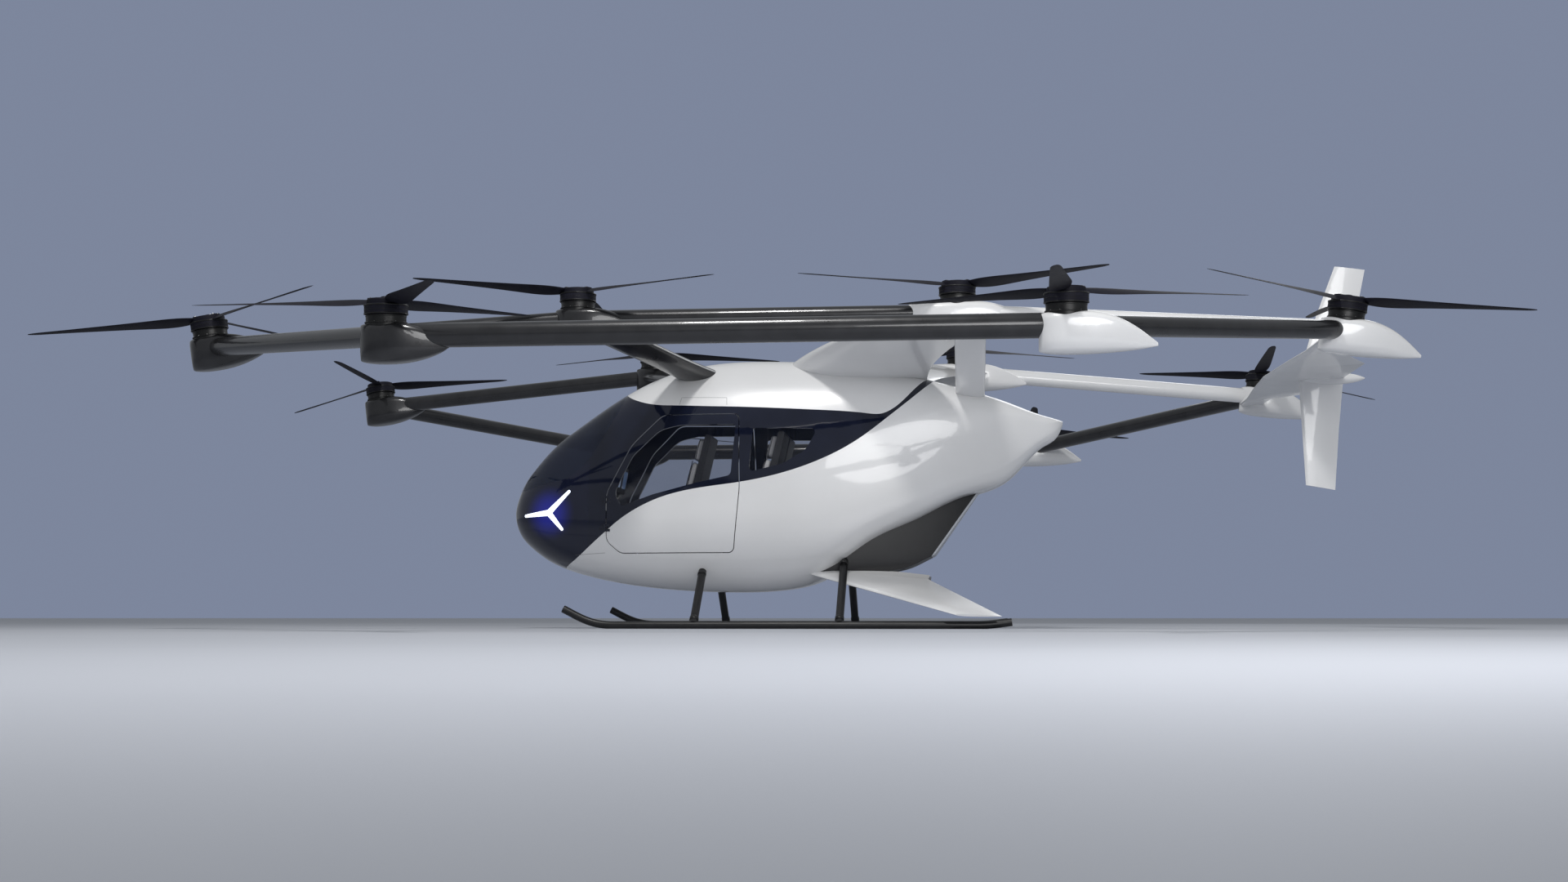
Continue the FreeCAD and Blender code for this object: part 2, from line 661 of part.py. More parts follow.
# ---- tail and lower fins ------------------------------------------------------------------------------
def build_tail(parts, pods):
    """The tailplane between the rear nacelles, its bullet fairing and the upright fin."""
    half = [
        (V(-4600, 0, 2412), V(-5350, 0, 2392), 62),
        (V(-4648, 1030, 2412), V(-5350, 1030, 2392), 58),
        (V(-4680, 1500, 2412), V(-5120, 1500, 2400), 52),
        (V(-4700, 1790, 2412), V(-4950, 1790, 2404), 44),
        (V(-4705, 2330, 2412), V(-4935, 2330, 2404), 44),
    ]
    wires = [airfoil(a, b, t, V(0, 0, 1)) for a, b, t in half]
    inner = Part.makeLoft(wires, True, True, False, 3)
    plane = solid_of(inner.fuse(mirrored(inner)).removeSplitter())
    bullet = loft([body_section(x, r, 2388 - r, 2388 + r, 2388, 2, 2)
                   for x, r in ((-4930, 6), (-4990, 34), (-5120, 58), (-5300, 58), (-5460, 38), (-5556, 5))])
    plane = plane.fuse(bullet).removeSplitter()
    plane = plane.cut(pods["rotor_rear_left"]).cut(pods["rotor_rear_right"])
    parts["tailplane"] = solid_of(plane)

    rows = [
        (V(-5300, 0, 3477), V(-5584, 0, 3440), 26),
        (V(-5112, 0, 2990), V(-5487, 0, 2990), 36),
        (V(-4935, 0, 2400), V(-5356, 0, 2400), 44),
        (V(-4955, 0, 1900), V(-5300, 0, 1900), 36),
        (V(-4977, 0, 1365), V(-5250, 0, 1316), 26),
    ]
    fin = Part.makeLoft([airfoil(a, b, t, V(0, 1, 0)) for a, b, t in rows], True, True, False, 3)
    halves = sorted(fin.cut(parts["tailplane"]).Solids, key=lambda s: -s.Volume)[:2]
    parts["tail_fin"] = Part.makeCompound(halves)


def build_lower_body(parts):
    """The dark lower tail block and the drooping side fins."""
    rows = [
        (-330, 500, 420, 900), (-600, 470, 430, 1050), (-933, 420, 440, 1300), (-1300, 330, 470, 1440),
        (-1600, 232, 600, 1530), (-1760, 158, 800, 1580), (-1890, 66, 1100, 1610),
    ]
    block = loft([body_section(x, w, low, high, 0.5 * (low + high), 4, 4) for x, w, low, high in rows])
    outline = rounded_outline(TAIL_BLOCK_OUTLINE, TAIL_BLOCK_CORNERS)
    parts["tail_panels"] = solid_of(block.common(across(outline)).cut(OUTER))

    rows = [
        (V(-60, 330, 590), V(-1390, 330, 505), 70),
        (V(-270, 500, 512), V(-1380, 500, 462), 60),
        (V(-1640, 1300, 128), V(-2060, 1300, 112), 22),
    ]
    fin = Part.makeLoft([airfoil(a, b, t, V(0, 0.35, 1)) for a, b, t in rows], True, True, False, 3)
    parts["lower_fins"] = solid_of(fin.cut(OUTER).cut(parts["tail_panels"]))


# ---- landing gear ---------------------------------------------------------------------------------------
def build_gear(parts):
    """Two skids with upturned toes, and four legs up to the belly."""
    y = SKID_SPREAD
    toe = V(SKID_TOE[0], y, SKID_TOE[1])
    front = V(SKID_FRONT, y, SKID_HEIGHT)
    rear = V(SKID_REAR, y, SKID_HEIGHT)
    heel = V(SKID_HEEL[0], y, SKID_HEEL[1])
    toe_curve = Part.BezierCurve()
    toe_curve.setPoles([front, front + V(220, 0, 0), toe - V(180, 0, 92), toe])
    heel_curve = Part.BezierCurve()
    heel_lead = V(120, 0, -16)
    heel_curve.setPoles([rear, rear - V(120, 0, 0), heel + heel_lead, heel])
    path = Part.Wire([heel_curve.toShape(), Part.LineSegment(rear, front).toShape(), toe_curve.toShape()])
    ring = Part.Wire(Part.Circle(heel, heel_lead * -1, SKID_RADIUS).toShape())
    tube = path.makePipeShell([ring], True, False)
    skid = solid_of(tube.cut(box((-FAR, -FAR, -FAR), (FAR, FAR, 0))))
    parts["skids"] = both_sides(skid)

    legs = []
    sleeves = []
    for x in LEG_STATIONS:
        foot = V(x, y, SKID_HEIGHT + 10)
        root = V(x, LEG_ROOT_SPREAD, LEG_ROOT_HEIGHT)
        leg = cylinder(foot, root, LEG_RADIUS).cut(skid).cut(OUTER).cut(parts["tail_panels"])
        legs.append(min(leg.Solids, key=lambda s: s.BoundBox.ZMin))
        sleeves.append(cylinder(foot, root, LEG_RADIUS + RUNNING_GAP))
    parts["skid_legs"] = both_sides(Part.makeCompound(legs))
    parts["lower_fins"] = both_sides(solid_of(parts["lower_fins"].cut(sleeves)))


# ---- cabin --------------------------------------------------------------------------------------------
def seat_shell(x, y):
    """A moulded seat: pedestal, pan and leaning back in one shell."""
    z = FLOOR_TOP + SEAT_HEIGHT
    lean = math.tan(math.radians(SEAT_LEAN))
    top = z + SEAT_BACK
    outline = [
        (x + 430, z), (x + 6, z), (x + 6 - SEAT_BACK * lean, top), (x - 56 - SEAT_BACK * lean, top - 6),
        (x - 60, z - 70), (x + 20, z - 80), (x + 40, FLOOR_TOP), (x + 330, FLOOR_TOP),
        (x + 300, z - 80), (x + 425, z - 50),
    ]
    wire = rounded_outline(outline, [18, 40, 20, 24, 60, 30, 8, 8, 30, 20])
    return across(wire, y - SEAT_WIDTH / 2, y + SEAT_WIDTH / 2)


def cushion(low, high, radius):
    """A box with every edge rounded."""
    shape = box(low, high)
    return shape.makeFillet(radius, shape.Edges)


def seat_cushions(x, y):
    """Seat, back and head cushions resting on a seat shell."""
    z = FLOOR_TOP + SEAT_HEIGHT
    half = SEAT_WIDTH / 2 - 15
    base = cushion((x + 95, y - half, z + CUSHION_GAP), (x + 440, y + half, z + 95), 30)
    back = cushion((0, y - half, 60), (78, y + half, 640), 30)
    head = cushion((0, y - 0.6 * half, 665), (78, y + 0.6 * half, 880), 30)
    for piece in (back, head):
        piece.rotate(V(0, 0, 0), V(0, 1, 0), -SEAT_LEAN)
        piece.translate(V(x + 6 + CUSHION_GAP, 0, z))
    return [base, back, head]


def build_cabin(parts):
    """Floor, seats, cushions and the instrument console."""
    slab = box((CABIN_AFT - 50, -FAR, FLOOR_TOP - FLOOR_THICKNESS), (2120, FAR, FLOOR_TOP))
    parts["cabin_floor"] = solid_of(CABIN.common(slab))
    parts["pilot_seat"] = seat_shell(*PILOT_SEAT)
    parts["passenger_seats"] = Part.makeCompound([seat_shell(*p) for p in PASSENGER_SEATS])
    cushions = []
    for place_xy in [PILOT_SEAT] + PASSENGER_SEATS:
        cushions += seat_cushions(*place_xy)
    parts["seat_cushions"] = Part.makeCompound(cushions)

    outline = [(1960, FLOOR_TOP), (1990, 1150), (1900, 1330), (1700, 1480), (1670, 1450), (1760, 1180),
               (1790, FLOOR_TOP)]
    pedestal = across(rounded_outline(outline, [10, 60, 80, 16, 16, 60, 10]), -110, 110)
    outline = [(1690, 1330), (1780, 1345), (1740, 1590), (1700, 1600), (1640, 1590)]
    screen = across(rounded_outline(outline, [20, 20, 20, 10, 14]), -260, 260)
    sticks = []
    for side in (-1, 1):
        y = 290 * side
        post = cylinder(V(1330, y, FLOOR_TOP), V(1330, y, 1010), 32)
        stick = cylinder(V(1330, y, 1000), V(1400, y, 1190), 15)
        knob = Part.makeSphere(30, V(1400, y, 1190))
        sticks.append(solid_of(post.fuse([stick, knob]).removeSplitter()))
    console = solid_of(pedestal.fuse(screen).removeSplitter())
    parts["instrument_console"] = Part.makeCompound([console] + sticks)


# ---- assembly -------------------------------------------------------------------------------------------
def build():
    """Every sub-part by name."""
    parts = build_fuselage()
    body_barrels, door_barrels = build_hinges()
    parts["door_hinges"] = both_sides(Part.makeCompound(body_barrels))
    parts["door_frame_left"] = solid_of(parts["door_frame_left"].fuse(door_barrels))
    hubs, pods = build_rotors(parts)
    build_booms(parts, hubs, pods)
    build_tail(parts, pods)
    build_lower_body(parts)
    build_gear(parts)
    build_cabin(parts)
    for name in ("door_panel", "door_frame", "door_window"):
        parts[name + "_right"] = mirrored(parts[name + "_left"])
    return parts


os.makedirs("parts", exist_ok=True)
for node, shape in build().items():
    print(node, len(shape.Solids), round(shape.Volume / 1e6, 2), shape.isValid())
    shape.exportStep("parts/" + node + ".step")
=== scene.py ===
import json
import math
import bmesh
import bpy
from mathutils import Matrix, Vector
from mathutils.bvhtree import BVHTree


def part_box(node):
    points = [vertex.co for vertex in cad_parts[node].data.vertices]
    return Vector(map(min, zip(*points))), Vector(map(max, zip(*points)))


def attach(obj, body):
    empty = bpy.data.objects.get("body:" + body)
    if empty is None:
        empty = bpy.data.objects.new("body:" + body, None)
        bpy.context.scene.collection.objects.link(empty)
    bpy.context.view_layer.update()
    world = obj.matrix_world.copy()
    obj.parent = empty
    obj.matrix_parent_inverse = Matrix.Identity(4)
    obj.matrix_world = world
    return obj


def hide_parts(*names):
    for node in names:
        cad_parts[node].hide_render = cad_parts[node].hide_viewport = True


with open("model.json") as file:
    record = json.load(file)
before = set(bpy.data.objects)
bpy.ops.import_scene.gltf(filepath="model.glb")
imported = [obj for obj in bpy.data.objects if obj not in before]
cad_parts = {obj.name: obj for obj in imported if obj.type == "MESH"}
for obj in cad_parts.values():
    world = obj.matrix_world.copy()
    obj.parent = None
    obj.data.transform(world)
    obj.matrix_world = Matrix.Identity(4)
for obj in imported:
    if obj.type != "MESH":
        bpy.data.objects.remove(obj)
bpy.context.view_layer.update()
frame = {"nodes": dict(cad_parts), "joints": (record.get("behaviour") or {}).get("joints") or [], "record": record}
nodes = frame["nodes"]

SEAT_LEAN = math.radians(14)
BELL_RADIUS = 0.160
BASE_RADIUS = 0.148
HUB_TOP = 0.020                   # top of the hub disc, from the blade plane
POD_TOP = -0.160                  # top deck of a nacelle, from the blade plane
BLADES = 3
BELL_BANDS = ((-0.036, -0.026, 0.004), (-0.066, -0.063, 0.0015), (-0.099, -0.090, 0.003))  # low, high, proud
FLANGE_BOLTS = 12
TAIL_EDGE_LOW = (-1.438, 0.705)   # the tail block's rear edge in the side view
TAIL_EDGE_HIGH = (-1.895, 1.350)
TAIL_BAND = 0.016
SEAM_WIDTH = 0.0035
ROOF_HATCH = ((1.004, 2.150), (0.987, 2.222), (0.543, 2.212), (0.538, 2.140))
NOSE_SEAM = ((2.035, 0.705), (1.715, 0.722))
STRAP_WIDTH = 0.046
STRAP_LIFT = 0.002                # a strap's gap over its pad
DISPLAY_HALF_WIDTH = 0.105
DISPLAY_FOOT = 1.38
DISPLAY_HEAD = 1.56
DISPLAY_CENTRES = (-0.128, 0.128)
BEZEL_WIDTH = 0.012
GRIP_PROFILE = ((0.0165, 0.0), (0.020, 0.0), (0.023, 0.02), (0.021, 0.045), (0.024, 0.07), (0.033, 0.090),
                (0.031, 0.106), (0.020, 0.114), (0.0165, 0.114))
GRIP_LEAN = 0.35


# ---- materials ----------------------------------------------------------------------------------------
def new_material(name, color, roughness, metallic=0.0, coat=0.0, alpha=1.0, specular=0.5):
    """A Principled material, with plain values that the caller's nodes take over."""
    material = bpy.data.materials.new(name)
    material.use_nodes = True
    shader = material.node_tree.nodes["Principled BSDF"]
    shader.inputs["Base Color"].default_value = (*color, 1)
    shader.inputs["Roughness"].default_value = roughness
    shader.inputs["Metallic"].default_value = metallic
    shader.inputs["Coat Weight"].default_value = coat
    shader.inputs["Coat Roughness"].default_value = 0.04
    shader.inputs["Specular IOR Level"].default_value = specular
    shader.inputs["Alpha"].default_value = alpha
    return material, material.node_tree, shader


def add_mottle(tree, shader, low, high, scale, rough_low, rough_high):
    """Slow colour and roughness variation from object-space noise; returns the coordinates and ramp."""
    place = tree.nodes.new("ShaderNodeTexCoord")
    noise = tree.nodes.new("ShaderNodeTexNoise")
    noise.inputs["Scale"].default_value = scale
    noise.inputs["Detail"].default_value = 4
    ramp = tree.nodes.new("ShaderNodeValToRGB")
    ramp.color_ramp.elements[0].position = 0.3
    ramp.color_ramp.elements[1].position = 0.7
    ramp.color_ramp.elements[0].color = (*low, 1)
    ramp.color_ramp.elements[1].color = (*high, 1)
    rough = tree.nodes.new("ShaderNodeMapRange")
    rough.inputs["To Min"].default_value = rough_low
    rough.inputs["To Max"].default_value = rough_high
    tree.links.new(place.outputs["Object"], noise.inputs["Vector"])
    tree.links.new(noise.outputs["Fac"], ramp.inputs["Fac"])
    tree.links.new(noise.outputs["Fac"], rough.inputs["Value"])
    tree.links.new(ramp.outputs["Color"], shader.inputs["Base Color"])
    tree.links.new(rough.outputs["Result"], shader.inputs["Roughness"])
    return place, ramp


def add_relief(tree, shader, height, strength, distance):
    """Bump from a height output."""
    relief = tree.nodes.new("ShaderNodeBump")
    relief.inputs["Strength"].default_value = strength
    relief.inputs["Distance"].default_value = distance
    tree.links.new(height, relief.inputs["Height"])
    tree.links.new(relief.outputs["Normal"], shader.inputs["Normal"])


def grain(tree, place, scale):
    """Fine noise for orange peel, casting skin or moulded texture."""
    noise = tree.nodes.new("ShaderNodeTexNoise")
    noise.inputs["Scale"].default_value = scale
    noise.inputs["Detail"].default_value = 2
    tree.links.new(place.outputs["Object"], noise.inputs["Vector"])
    return noise.outputs["Fac"]


def weave(tree, place, scale):
    """A woven pattern: two sets of bands at right angles, multiplied."""
    bands = []
    for direction in ("X", "Z"):
        wave = tree.nodes.new("ShaderNodeTexWave")
        wave.bands_direction = direction
        wave.inputs["Scale"].default_value = scale
        wave.inputs["Distortion"].default_value = 0.4
        tree.links.new(place.outputs["Object"], wave.inputs["Vector"])
        bands.append(wave.outputs["Fac"])
    product = tree.nodes.new("ShaderNodeMath")
    product.operation = "MULTIPLY"
    tree.links.new(bands[0], product.inputs[0])
    tree.links.new(bands[1], product.inputs[1])
    return product.outputs[0]


def finish(name, low, high, scale, rough_low, rough_high, pattern=None, relief=0.0, pattern_scale=400, **shine):
    """A finished material: colour and roughness variation, and grain or weave in its relief."""
    material, tree, shader = new_material(name, high, rough_high, **shine)
    place, ramp = add_mottle(tree, shader, low, high, scale, rough_low, rough_high)
    if pattern is not None:
        add_relief(tree, shader, pattern(tree, place, pattern_scale), relief, 0.0006)
    return material


def grey(value, blue=1.0):
    """A near-neutral colour."""
    return (value, value, value * blue)


def side_distance(tree, place, centre):
    """The distance from a point in the side view, the same on both sides of the aircraft."""
    split = tree.nodes.new("ShaderNodeSeparateXYZ")
    join = tree.nodes.new("ShaderNodeCombineXYZ")
    distance = tree.nodes.new("ShaderNodeVectorMath")
    distance.operation = "DISTANCE"
    distance.inputs[1].default_value = (centre[0], 0, centre[2])
    tree.links.new(place.outputs["Object"], split.inputs[0])
    tree.links.new(split.outputs["X"], join.inputs["X"])
    tree.links.new(split.outputs["Z"], join.inputs["Z"])
    tree.links.new(join.outputs[0], distance.inputs[0])
    return distance.outputs["Value"]


def visor_material():
    """Gloss black nose skin with a painted deep blue glow of the headlights' light round them."""
    low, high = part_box("headlights")
    centre = (low + high) / 2 - Vector((0.03, 0, 0.02))
    material, tree, shader = new_material("visor_gloss", (0.008, 0.010, 0.026), 0.08, coat=0.5, specular=0.3)
    place, ramp = add_mottle(tree, shader, (0.006, 0.008, 0.022), (0.009, 0.012, 0.030), 3, 0.05, 0.10)
    # painted glow: emission on the visor skin, fading with side-view distance from the headlights, stands in for
    # their blue light
    painted_glow = tree.nodes.new("ShaderNodeMapRange")
    painted_glow.interpolation_type = "SMOOTHERSTEP"
    painted_glow.inputs["From Min"].default_value = 0.30
    painted_glow.inputs["From Max"].default_value = 0.02
    painted_glow.inputs["To Max"].default_value = 0.22
    tree.links.new(side_distance(tree, place, centre), painted_glow.inputs["Value"])
    shader.inputs["Emission Color"].default_value = (0.03, 0.04, 0.85, 1)
    tree.links.new(painted_glow.outputs["Result"], shader.inputs["Emission Strength"])
    return material


def lamp_material():
    """The lit bars of the headlights: white hot, a little blue."""
    material, tree, shader = new_material("lamp", (0.9, 0.93, 1.0), 0.3)
    add_mottle(tree, shader, (0.86, 0.9, 1.0), (0.95, 0.97, 1.0), 30, 0.25, 0.35)
    shader.inputs["Emission Color"].default_value = (0.72, 0.80, 1.0, 1)
    shader.inputs["Emission Strength"].default_value = 1.6
    return material


def display_material():
    """A lit cockpit display: a dark blue field whose colour and glow vary slowly at random."""
    material, tree, shader = new_material("display", (0.02, 0.03, 0.06), 0.15, coat=0.8)
    place, ramp = add_mottle(tree, shader, (0.02, 0.03, 0.06), (0.03, 0.05, 0.09), 8, 0.12, 0.18)
    tree.links.new(ramp.outputs["Color"], shader.inputs["Emission Color"])
    shader.inputs["Emission Strength"].default_value = 1.8
    return material


def tail_block_material():
    """Satin black with the pale edge band that runs up the tail block's rear corner."""
    rise = TAIL_EDGE_HIGH[1] - TAIL_EDGE_LOW[1]
    run = TAIL_EDGE_HIGH[0] - TAIL_EDGE_LOW[0]
    outward = Vector((-rise, 0, run)).normalized()
    reach = max(v.co.dot(outward) for v in nodes["tail_panels"].data.vertices)
    material, tree, shader = new_material("tail_black", grey(0.02), 0.4)
    place, ramp = add_mottle(tree, shader, grey(0.011, 1.1), grey(0.016, 1.1), 8, 0.35, 0.5)
    along = tree.nodes.new("ShaderNodeVectorMath")
    along.operation = "DOT_PRODUCT"
    along.inputs[1].default_value = outward
    band = tree.nodes.new("ShaderNodeMath")
    band.operation = "GREATER_THAN"
    band.inputs[1].default_value = reach - TAIL_BAND
    mix = tree.nodes.new("ShaderNodeMix")
    mix.data_type = "RGBA"
    mix.inputs["B"].default_value = (0.5, 0.52, 0.56, 1)
    tree.links.new(place.outputs["Object"], along.inputs[0])
    tree.links.new(along.outputs["Value"], band.inputs[0])
    tree.links.new(band.outputs[0], mix.inputs["Factor"])
    tree.links.new(ramp.outputs["Color"], mix.inputs["A"])
    tree.links.new(mix.outputs["Result"], shader.inputs["Base Color"])
    add_relief(tree, shader, grain(tree, place, 500), 0.1, 0.0006)
    return material


MATERIALS = {
    "white_paint": finish("white_paint", grey(0.77), grey(0.81, 1.005), 1.5, 0.20, 0.28, grain, 0.03, 900,
                          coat=0.6),
    "graphite": finish("graphite", grey(0.016, 1.1), grey(0.026, 1.1), 6, 0.24, 0.34, weave, 0.06, 90,
                       metallic=0.35, coat=0.5),
    "black_gloss": finish("black_gloss", (0.005, 0.007, 0.018), (0.008, 0.011, 0.026), 3, 0.05, 0.10,
                          grain, 0.02, 700, coat=0.5, specular=0.3),
    "visor": visor_material(),
    "windshield": finish("windshield", (0.008, 0.012, 0.028), (0.012, 0.017, 0.038), 2, 0.02, 0.05,
                         alpha=0.66),
    "glass": finish("glass", (0.014, 0.018, 0.034), (0.018, 0.024, 0.042), 2, 0.02, 0.05, alpha=0.13),
    "lamp": lamp_material(),
    "motor": finish("motor", grey(0.016), grey(0.026), 20, 0.30, 0.42, grain, 0.08, 600, metallic=0.6),
    "blades": finish("blades", grey(0.008, 1.6), grey(0.014, 1.6), 12, 0.50, 0.62, weave, 0.05, 120,
                     specular=0.12),
    "tail_black": tail_block_material(),
    "gear_black": finish("gear_black", grey(0.008, 1.1), grey(0.013, 1.1), 15, 0.30, 0.45, grain, 0.1, 500,
                         metallic=0.2),
    "cabin_trim": finish("cabin_trim", grey(0.018, 1.2), grey(0.028, 1.2), 60, 0.5, 0.7, grain, 0.25, 500),
    "seat_shell": finish("seat_shell", grey(0.012, 1.3), grey(0.018, 1.3), 30, 0.35, 0.5, grain, 0.1, 500),
    "seat_fabric": finish("seat_fabric", grey(0.66, 1.04), grey(0.76, 1.04), 40, 0.6, 0.8, weave, 0.35, 160),
    "piping": finish("piping", grey(0.05, 1.1), grey(0.08, 1.1), 60, 0.5, 0.65, weave, 0.2, 200),
    "webbing": finish("webbing", grey(0.03, 1.2), grey(0.05, 1.2), 80, 0.6, 0.75, weave, 0.4, 220),
    "grip": finish("grip", grey(0.42, 1.03), grey(0.50, 1.03), 50, 0.4, 0.55, grain, 0.2, 600),
    "seam": finish("seam", grey(0.10), grey(0.16), 30, 0.5, 0.7, grain, 0.1, 500),
    "steel": finish("steel", grey(0.30), grey(0.42), 80, 0.22, 0.36, grain, 0.08, 800, metallic=0.9),
    "display": display_material(),
}
NODE_MATERIALS = {"nose_visor": "visor", "windshield": "windshield"}


def dress_cad_nodes():
    """Every CAD node gets the material of its slot, or its own where it differs within the slot."""
    for entry in frame["record"]["subparts"]:
        name = NODE_MATERIALS.get(entry["node"], entry["material_slot"])
        node = nodes[entry["node"]]
        node.data.materials.clear()
        node.data.materials.append(MATERIALS[name])


# ---- mesh helpers -----------------------------------------------------------------------------------------
def piece(name, mesh, material, body, smooth=True):
    """A named piece from a bmesh, dressed and riding on a body."""
    bmesh.ops.recalc_face_normals(mesh, faces=mesh.faces)
    data = bpy.data.meshes.new(name)
    mesh.to_mesh(data)
    mesh.free()
    for face in data.polygons:
        face.use_smooth = smooth
    data.materials.append(MATERIALS[material])
    obj = bpy.data.objects.new(name, data)
    bpy.context.scene.collection.objects.link(obj)
    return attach(obj, body)


def add_turned(mesh, profile, turn, segments=48):
    """A closed ring: a closed (radius, height) profile turned about the local Z axis."""
    rows = []
    for i in range(segments):
        angle = 2 * math.pi * i / segments
        rows.append([mesh.verts.new(turn @ Vector((r * math.cos(angle), r * math.sin(angle), z)))
                     for r, z in profile])
    for i, row in enumerate(rows):
        after = rows[(i + 1) % segments]
        for j in range(len(profile)):
            k = (j + 1) % len(profile)
            mesh.faces.new((row[j], after[j], after[k], row[k]))


def ring_profile(inner, outer, low, high, bevel=0.0012):
    """A ring's cross-section with its outer edges bevelled."""
    return [(inner, low), (outer - bevel, low), (outer, low + bevel), (outer, high - bevel),
            (outer - bevel, high), (inner, high)]


def add_dome(mesh, place, radius, height, turn, sides=6, steps=3):
    """A bolt head or cap: straight sides with a rounded top, closed underneath."""
    rows = []
    outline = [(radius, 0), (radius, 0.55 * height)]
    for k in range(1, steps + 1):
        angle = math.pi / 2 * k / (steps + 1)
        outline.append((radius * math.cos(angle), height * (0.55 + 0.45 * math.sin(angle))))
    for r, z in outline:
        rows.append([mesh.verts.new(turn @ (place + Vector((r * math.cos(2 * math.pi * i / sides),
                                                            r * math.sin(2 * math.pi * i / sides), z))))
                     for i in range(sides)])
    for low, high in zip(rows, rows[1:]):
        for i in range(sides):
            k = (i + 1) % sides
            mesh.faces.new((low[i], low[k], high[k], high[i]))
    mesh.faces.new(rows[0])
    mesh.faces.new(rows[-1])


def add_strip(mesh, points, normals, width, height, sink=0.0):
    """A flat band along points, square to the normals, standing height above them."""
    rows = []
    last = len(points) - 1
    for i, (point, normal) in enumerate(zip(points, normals)):
        run = (points[min(i + 1, last)] - points[max(i - 1, 0)]).normalized()
        side = run.cross(normal).normalized() * (width / 2)
        up = normal * height
        down = normal * sink
        corners = (point - side - down, point + side - down, point + 0.8 * side + up, point - 0.8 * side + up)
        rows.append([mesh.verts.new(corner) for corner in corners])
    for low, high in zip(rows, rows[1:]):
        for i in range(4):
            k = (i + 1) % 4
            mesh.faces.new((low[i], low[k], high[k], high[i]))
    mesh.faces.new(rows[0])
    mesh.faces.new(rows[-1])


def add_tube(mesh, points, radius, sides=8):
    """A closed round tube through a loop of points."""
    count = len(points)
    rows = []
    for i, point in enumerate(points):
        run = (points[(i + 1) % count] - points[i - 1]).normalized()
        side = run.cross(Vector((0, 1, 0.2))).normalized()
        up = run.cross(side)
        rows.append([mesh.verts.new(point + side * (radius * math.cos(2 * math.pi * k / sides))
                                    + up * (radius * math.sin(2 * math.pi * k / sides)))
                     for k in range(sides)])
    for i in range(count):
        low, high = rows[i], rows[(i + 1) % count]
        for k in range(sides):
            m = (k + 1) % sides
            mesh.faces.new((low[k], low[m], high[m], high[k]))


def surface_of(names):
    """A searchable surface made of several CAD nodes."""
    verts, faces = [], []
    for name in names:
        base = len(verts)
        verts += [v.co.copy() for v in nodes[name].data.vertices]
        faces += [[base + i for i in polygon.vertices] for polygon in nodes[name].data.polygons]
    return BVHTree.FromPolygons(verts, faces)


def onto_side(surface, outline, side, step=0.02):
    """Side-view (x, z) corners as points and normals on the skin of one side."""
    points, normals = [], []
    for (x0, z0), (x1, z1) in zip(outline, outline[1:]):
        count = max(2, int(math.hypot(x1 - x0, z1 - z0) / step))
        for k in range(count + 1):
            x = x0 + (x1 - x0) * k / count
            z = z0 + (z1 - z0) * k / count
            hit, normal, index, distance = surface.ray_cast(Vector((x, 3 * side, z)), Vector((0, -side, 0)))
            if hit is not None and (not points or (hit - points[-1]).length > 1e-4):
                points.append(hit)
                normals.append(normal if normal.y * side > 0 else -normal)
    return points, normals


# ---- rotors and motors --------------------------------------------------------------------------------------
def rotor_joints():
    """The joints that turn without limit."""
    return [joint for joint in frame["joints"] if joint.get("continuous")]


def hub_frame(joint):
    """The hub's own frame: Z up the shaft, X along a blade."""
    hub = Vector(joint["pos_m"])
    axis = Vector(joint["axis"]).normalized()
    tip = max((v.co for v in nodes[joint["child"]].data.vertices),
              key=lambda p: ((p - hub) - axis * (p - hub).dot(axis)).length)
    out = tip - hub
    out = (out - axis * out.dot(axis)).normalized()
    turn = Matrix((out, axis.cross(out), axis)).transposed().to_4x4()
    return Matrix.Translation(hub) @ turn


def build_rotor_fittings():
    """On each rotor: bands round the motor bell, blade clamps with bolts, and a centre cap."""
    for joint in rotor_joints():
        turn = hub_frame(joint)
        bands = bmesh.new()
        for low, high, proud in BELL_BANDS:
            add_turned(bands, ring_profile(BELL_RADIUS - 0.004, BELL_RADIUS + proud, low, high), turn)
        piece(joint["child"] + "_bands", bands, "motor", joint["child"])

        clamps = bmesh.new()
        bolts = bmesh.new()
        for k in range(BLADES):
            spin = turn @ Matrix.Rotation(2 * math.pi * k / BLADES, 4, "Z")
            along = [spin @ Vector((r, 0, HUB_TOP)) for r in (0.050, 0.054, 0.126, 0.131)]
            up = (spin.to_3x3() @ Vector((0, 0, 1))).normalized()
            add_strip(clamps, along, [up] * 4, 0.078, 0.007, 0.003)
            for r in (0.068, 0.112):
                for y in (-0.022, 0.022):
                    add_dome(bolts, Vector((r, y, HUB_TOP + 0.0068)), 0.0065, 0.006, spin)
        add_dome(clamps, Vector((0, 0, HUB_TOP - 0.001)), 0.040, 0.022, turn, 24, 5)
        piece(joint["child"] + "_clamps", clamps, "blades", joint["child"], smooth=False)
        piece(joint["child"] + "_bolts", bolts, "steel", joint["child"], smooth=False)


def build_motor_flanges():
    """The flange and bolts that hold each motor base on its nacelle."""
    flanges = bmesh.new()
    bolts = bmesh.new()
    for joint in rotor_joints():
        turn = hub_frame(joint)
        inner = BASE_RADIUS - 0.0005
        circle = BASE_RADIUS + 0.0045
        add_turned(flanges, ring_profile(inner, BASE_RADIUS + 0.009, POD_TOP - 0.004, POD_TOP + 0.005), turn)
        add_turned(flanges, ring_profile(inner, BASE_RADIUS + 0.003, -0.116, -0.108), turn)
        for k in range(FLANGE_BOLTS):
            angle = 2 * math.pi * (k + 0.5) / FLANGE_BOLTS
            place = Vector((circle * math.cos(angle), circle * math.sin(angle), POD_TOP + 0.0045))
            add_dome(bolts, place, 0.0035, 0.004, turn)
    piece("motor_flanges", flanges, "motor", "airframe")
    piece("motor_flange_bolts", bolts, "steel", "airframe", smooth=False)


